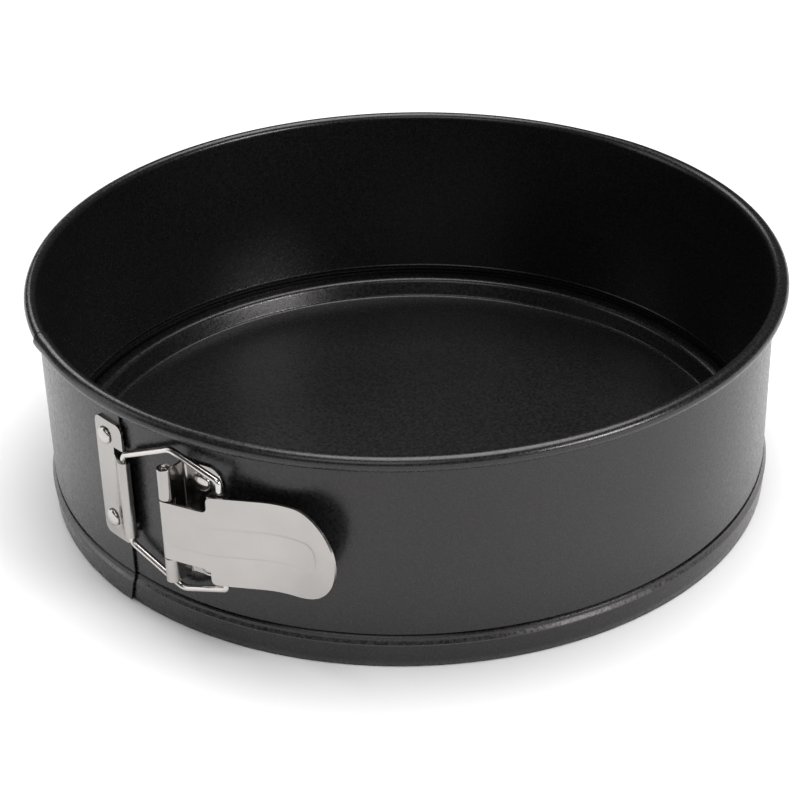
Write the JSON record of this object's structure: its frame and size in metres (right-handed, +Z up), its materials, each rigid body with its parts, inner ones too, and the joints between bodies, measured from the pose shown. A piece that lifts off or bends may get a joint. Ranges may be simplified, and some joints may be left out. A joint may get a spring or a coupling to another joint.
{
  "type": "springform pan",
  "caption": "Round springform cake pan: a rolled-rim steel ring, split and closed by an over-centre wire latch, round a loose flat base.",
  "frame": {"origin": "centre of the base's flat underside, which lies on the table", "axes": "+Z up through the open mouth; the latch hinge pin stands on the -Y side, and the closed lever points towards +X"},
  "size_m": [0.2398, 0.2444, 0.072],
  "materials": {
    "coated_steel": "satin non-stick coating",
    "plated_steel": "polished plated steel"
  },
  "bodies": {
    "base": {"base_plate": "coated_steel"},
    "ring_right": {"ring_right": "coated_steel", "hinge_plate": "plated_steel", "hinge_pin": "plated_steel", "hinge_rivet_upper": "plated_steel", "hinge_rivet_lower": "plated_steel"},
    "ring_left": {"ring_left": "coated_steel", "anchor_plate": "plated_steel", "anchor_rivet_upper": "plated_steel", "anchor_rivet_lower": "plated_steel"},
    "lever": {"latch_lever": "plated_steel"},
    "wire": {"latch_wire": "plated_steel"}
  },
  "joints": [
    {"name": "ring_lift", "type": "slide", "parent": "base", "child": "ring_right", "axis": [0, 0, 1], "range_m": [0, 0.09]},
    {"name": "lever_pivot", "type": "hinge", "parent": "ring_right", "child": "lever", "pos_m": [0, -0.123, 0.0405], "axis": [0, 0, -1], "range_deg": [0, 115]},
    {"name": "ring_open", "type": "hinge", "parent": "ring_right", "child": "ring_left", "pos_m": [0.02366, 0.11764, 0.0405], "axis": [0, 0, -1], "range_deg": [0, 2.8]},
    {"name": "wire_swing", "type": "hinge", "parent": "ring_left", "child": "wire", "pos_m": [-0.02048, -0.11685, 0.0405], "axis": [0, 0, -1], "range_deg": [0, 34.59]}
  ],
  "couplings": [
    {"joint": "ring_open", "follows": "lever_pivot", "ratio": 0.024225},
    {"joint": "wire_swing", "follows": "lever_pivot", "ratio": 0.30068}
  ]
}
